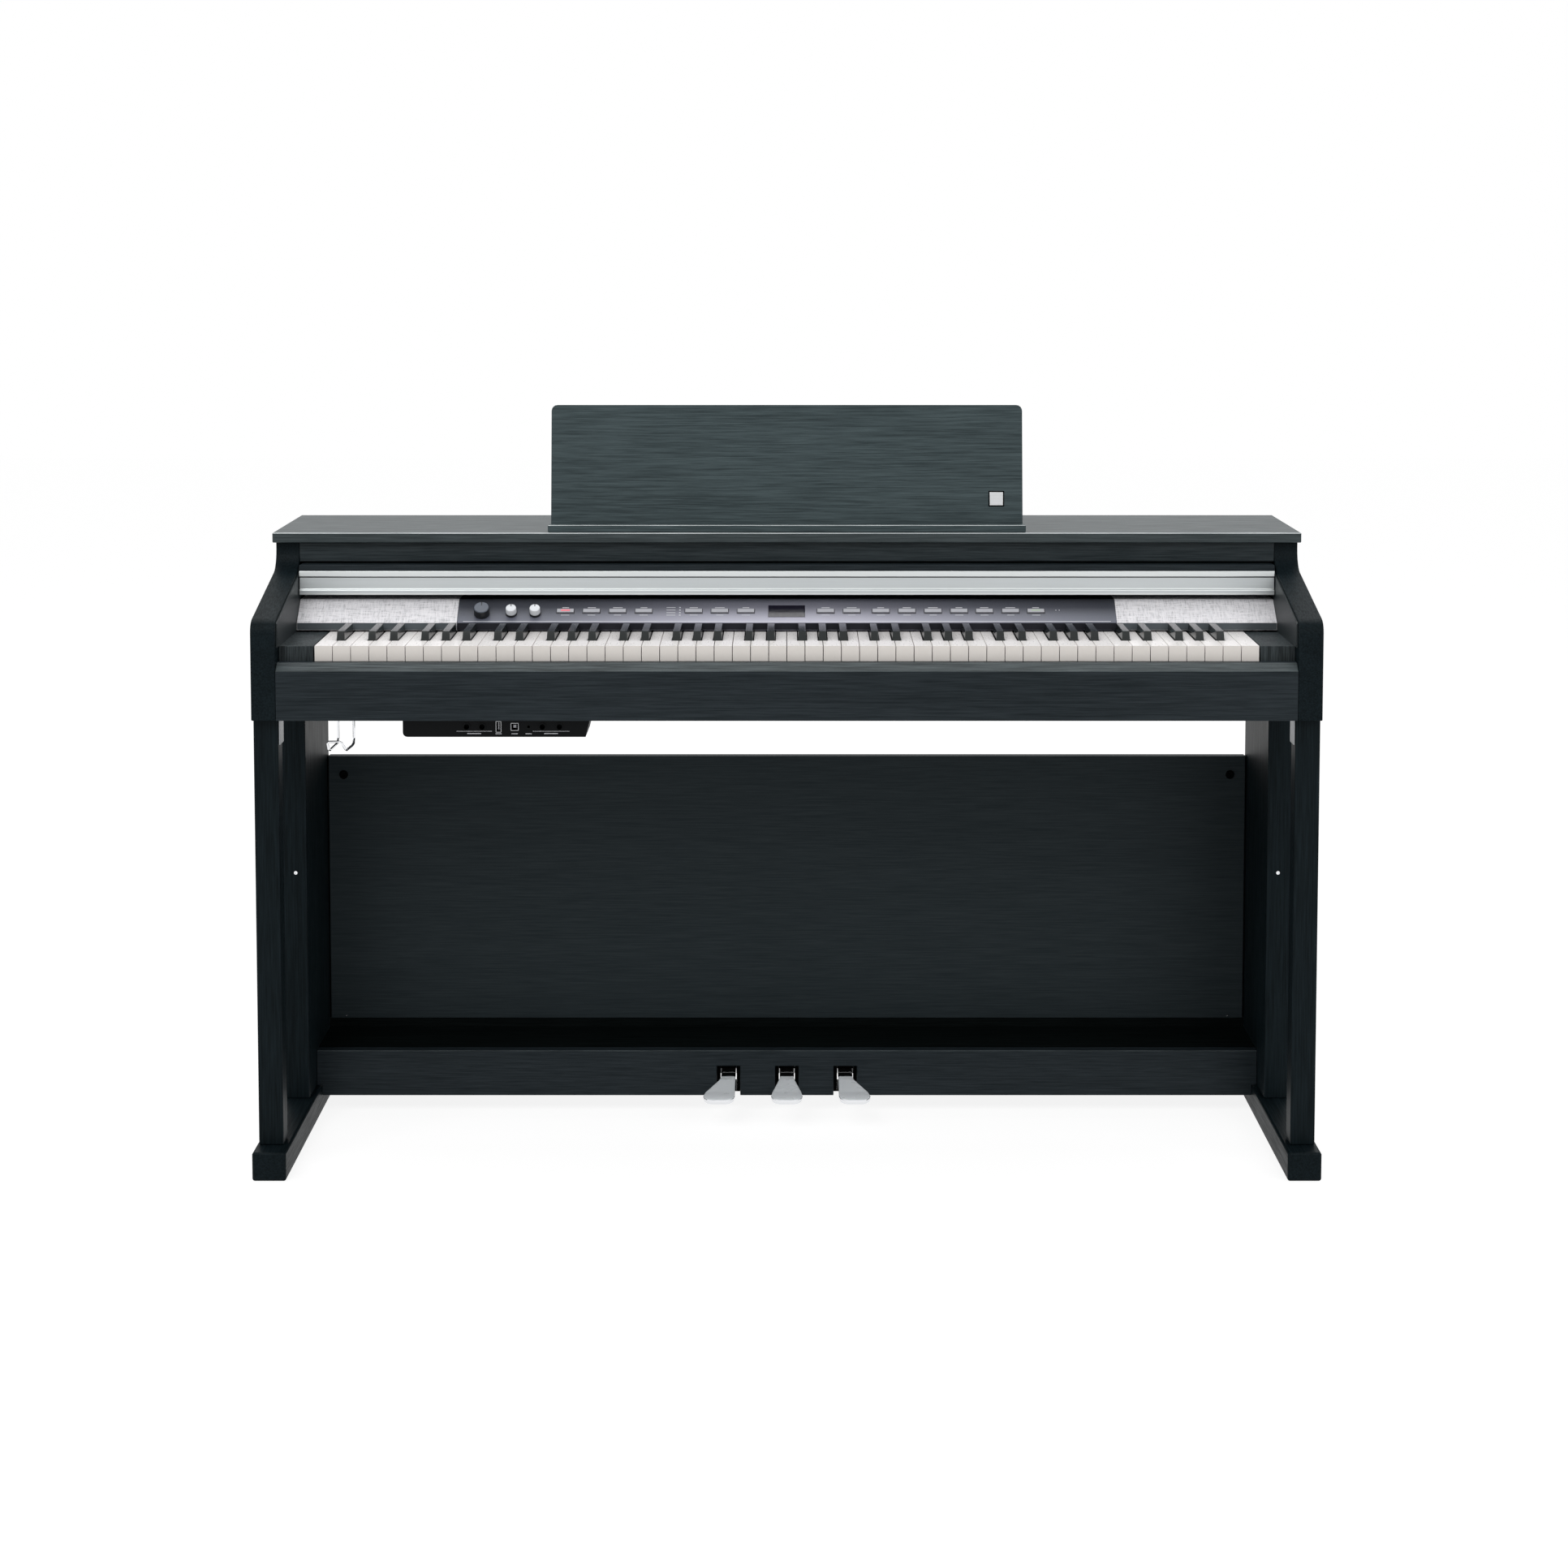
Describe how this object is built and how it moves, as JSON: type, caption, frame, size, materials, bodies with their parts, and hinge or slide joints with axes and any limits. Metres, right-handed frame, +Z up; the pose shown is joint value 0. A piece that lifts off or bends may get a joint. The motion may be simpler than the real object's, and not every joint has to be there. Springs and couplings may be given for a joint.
{
  "type": "digital piano",
  "caption": "Free-standing digital piano with a full weighted keyboard, sliding key cover, music board, panel controls, pedal unit and side stand.",
  "frame": {"origin": "centre of the bounding box on the floor", "axes": "+X to the player's right along the keyboard, +Y away from the player, +Z up"},
  "size_m": [1.386, 0.47, 0.9927],
  "materials": {
    "wood": "dark stained grain, satin",
    "rest_wood": "dark stained open grain, satin",
    "case_plastic": "fine texture",
    "panel": "satin slate grey",
    "speaker_cloth": "heathered flat weave",
    "lens": "smoked window",
    "rail": "brushed and anodised",
    "steel": "zinc plated",
    "speaker": "black paper and steel",
    "circuit": "solder mask",
    "chrome": "polished",
    "white_key": "satin top",
    "black_key": "satin black",
    "knob": "satin",
    "button": "satin light grey"
  },
  "bodies": {
    "case": {"top_lid": "wood", "left_arm": "wood", "right_arm": "wood", "header_board": "wood", "key_slip": "wood", "key_bed": "wood", "body_back": "wood", "left_key_block": "wood", "right_key_block": "wood", "left_cheek": "case_plastic", "right_cheek": "case_plastic", "control_panel": "panel", "left_grille": "speaker_cloth", "right_grille": "speaker_cloth", "display_lens": "lens", "jack_box": "case_plastic", "headphone_hook": "chrome", "key_chassis": "steel", "left_speaker": "speaker", "right_speaker": "speaker", "circuit_board": "circuit", "mains_inlet": "case_plastic", "left_foot": "wood", "right_foot": "wood", "left_post": "wood", "right_post": "wood", "left_side_board": "wood", "right_side_board": "wood", "left_bracket": "steel", "right_bracket": "steel", "back_board": "wood", "pedal_board": "wood", "pedal_housing": "wood", "pedal_frame": "steel", "music_ledge": "wood"},
    "cover_carriage": {"cover_shaft": "steel"},
    "cover": {"cover_board": "wood", "cover_rail": "rail"},
    "music_board": {"music_board": "rest_wood"},
    "a_keys": {"a_keys": "white_key"},
    "b_keys": {"b_keys": "white_key"},
    "c_keys": {"c_keys": "white_key"},
    "d_keys": {"d_keys": "white_key"},
    "e_keys": {"e_keys": "white_key"},
    "f_keys": {"f_keys": "white_key"},
    "g_keys": {"g_keys": "white_key"},
    "a_sharp_keys": {"a_sharp_keys": "black_key"},
    "c_sharp_keys": {"c_sharp_keys": "black_key"},
    "d_sharp_keys": {"d_sharp_keys": "black_key"},
    "f_sharp_keys": {"f_sharp_keys": "black_key"},
    "g_sharp_keys": {"g_sharp_keys": "black_key"},
    "soft_pedal": {"soft_pedal": "chrome"},
    "sostenuto_pedal": {"sostenuto_pedal": "chrome"},
    "damper_pedal": {"damper_pedal": "chrome"},
    "volume_knob": {"volume_knob": "knob"},
    "treble_knob": {"treble_knob": "knob"},
    "bass_knob": {"bass_knob": "knob"},
    "buttons_left": {"buttons_left": "button"},
    "buttons_middle": {"buttons_middle": "button"},
    "buttons_right": {"buttons_right": "button"}
  },
  "joints": [
    {"name": "cover_slide", "type": "slide", "parent": "case", "child": "cover_carriage", "axis": [0, -1, 0], "range_m": [0, 0.19]},
    {"name": "cover_tilt", "type": "hinge", "parent": "cover_carriage", "child": "cover", "pos_m": [0, 0.202, 0.77675], "axis": [1, 0, 0], "range_deg": [0, 11]},
    {"name": "music_board_fold", "type": "hinge", "parent": "case", "child": "music_board", "pos_m": [0, 0.0105, 0.8262], "axis": [-1, 0, 0], "range_deg": [0, 80.5]},
    {"name": "a_keys_press", "type": "hinge", "parent": "case", "child": "a_keys", "pos_m": [0, 0.06, 0.6735], "axis": [1, 0, 0], "range_deg": [0, 2.25], "stiffness_Nm_per_rad": 20, "springref_deg": -5.73},
    {"name": "b_keys_press", "type": "hinge", "parent": "case", "child": "b_keys", "pos_m": [0, 0.06, 0.6735], "axis": [1, 0, 0], "range_deg": [0, 2.25], "stiffness_Nm_per_rad": 20, "springref_deg": -5.73},
    {"name": "c_keys_press", "type": "hinge", "parent": "case", "child": "c_keys", "pos_m": [0, 0.06, 0.6735], "axis": [1, 0, 0], "range_deg": [0, 2.25], "stiffness_Nm_per_rad": 20, "springref_deg": -5.73},
    {"name": "d_keys_press", "type": "hinge", "parent": "case", "child": "d_keys", "pos_m": [0, 0.06, 0.6735], "axis": [1, 0, 0], "range_deg": [0, 2.25], "stiffness_Nm_per_rad": 20, "springref_deg": -5.73},
    {"name": "e_keys_press", "type": "hinge", "parent": "case", "child": "e_keys", "pos_m": [0, 0.06, 0.6735], "axis": [1, 0, 0], "range_deg": [0, 2.25], "stiffness_Nm_per_rad": 20, "springref_deg": -5.73},
    {"name": "f_keys_press", "type": "hinge", "parent": "case", "child": "f_keys", "pos_m": [0, 0.06, 0.6735], "axis": [1, 0, 0], "range_deg": [0, 2.25], "stiffness_Nm_per_rad": 20, "springref_deg": -5.73},
    {"name": "g_keys_press", "type": "hinge", "parent": "case", "child": "g_keys", "pos_m": [0, 0.06, 0.6735], "axis": [1, 0, 0], "range_deg": [0, 2.25], "stiffness_Nm_per_rad": 20, "springref_deg": -5.73},
    {"name": "a_sharp_keys_press", "type": "hinge", "parent": "case", "child": "a_sharp_keys", "pos_m": [0, 0.06, 0.6735], "axis": [1, 0, 0], "range_deg": [0, 2.25], "stiffness_Nm_per_rad": 10, "springref_deg": -5.73},
    {"name": "c_sharp_keys_press", "type": "hinge", "parent": "case", "child": "c_sharp_keys", "pos_m": [0, 0.06, 0.6735], "axis": [1, 0, 0], "range_deg": [0, 2.25], "stiffness_Nm_per_rad": 10, "springref_deg": -5.73},
    {"name": "d_sharp_keys_press", "type": "hinge", "parent": "case", "child": "d_sharp_keys", "pos_m": [0, 0.06, 0.6735], "axis": [1, 0, 0], "range_deg": [0, 2.25], "stiffness_Nm_per_rad": 10, "springref_deg": -5.73},
    {"name": "f_sharp_keys_press", "type": "hinge", "parent": "case", "child": "f_sharp_keys", "pos_m": [0, 0.06, 0.6735], "axis": [1, 0, 0], "range_deg": [0, 2.25], "stiffness_Nm_per_rad": 10, "springref_deg": -5.73},
    {"name": "g_sharp_keys_press", "type": "hinge", "parent": "case", "child": "g_sharp_keys", "pos_m": [0, 0.06, 0.6735], "axis": [1, 0, 0], "range_deg": [0, 2.25], "stiffness_Nm_per_rad": 10, "springref_deg": -5.73},
    {"name": "soft_pedal_press", "type": "hinge", "parent": "case", "child": "soft_pedal", "pos_m": [-0.0815, 0.145, 0.051], "axis": [1, 0, 0], "range_deg": [0, 5.5], "stiffness_Nm_per_rad": 60, "springref_deg": -2.86},
    {"name": "sostenuto_pedal_press", "type": "hinge", "parent": "case", "child": "sostenuto_pedal", "pos_m": [0, 0.145, 0.051], "axis": [1, 0, 0], "range_deg": [0, 5.5], "stiffness_Nm_per_rad": 60, "springref_deg": -2.86},
    {"name": "damper_pedal_press", "type": "hinge", "parent": "case", "child": "damper_pedal", "pos_m": [0.0815, 0.145, 0.051], "axis": [1, 0, 0], "range_deg": [0, 5.5], "stiffness_Nm_per_rad": 60, "springref_deg": -2.86},
    {"name": "volume_knob_turn", "type": "hinge", "parent": "case", "child": "volume_knob", "pos_m": [-0.4087, -0.03973, 0.71601], "axis": [0, -0.6136, 0.7896], "range_deg": [-140, 140]},
    {"name": "treble_knob_turn", "type": "hinge", "parent": "case", "child": "treble_knob", "pos_m": [-0.3692, -0.03973, 0.71601], "axis": [0, -0.6136, 0.7896], "range_deg": [-140, 140]},
    {"name": "bass_knob_turn", "type": "hinge", "parent": "case", "child": "bass_knob", "pos_m": [-0.3374, -0.03973, 0.71601], "axis": [0, -0.6136, 0.7896], "range_deg": [-140, 140]},
    {"name": "buttons_left_press", "type": "slide", "parent": "case", "child": "buttons_left", "axis": [0, 0.6136, -0.7896], "range_m": [0, 0.001], "stiffness_N_per_m": 1500, "springref_m": -0.0005},
    {"name": "buttons_middle_press", "type": "slide", "parent": "case", "child": "buttons_middle", "axis": [0, 0.6136, -0.7896], "range_m": [0, 0.001], "stiffness_N_per_m": 1500, "springref_m": -0.0005},
    {"name": "buttons_right_press", "type": "slide", "parent": "case", "child": "buttons_right", "axis": [0, 0.6136, -0.7896], "range_m": [0, 0.001], "stiffness_N_per_m": 1500, "springref_m": -0.0005}
  ],
  "couplings": [
    {"joint": "cover_tilt", "follows": "cover_slide", "rad_per_m": 1.01}
  ]
}
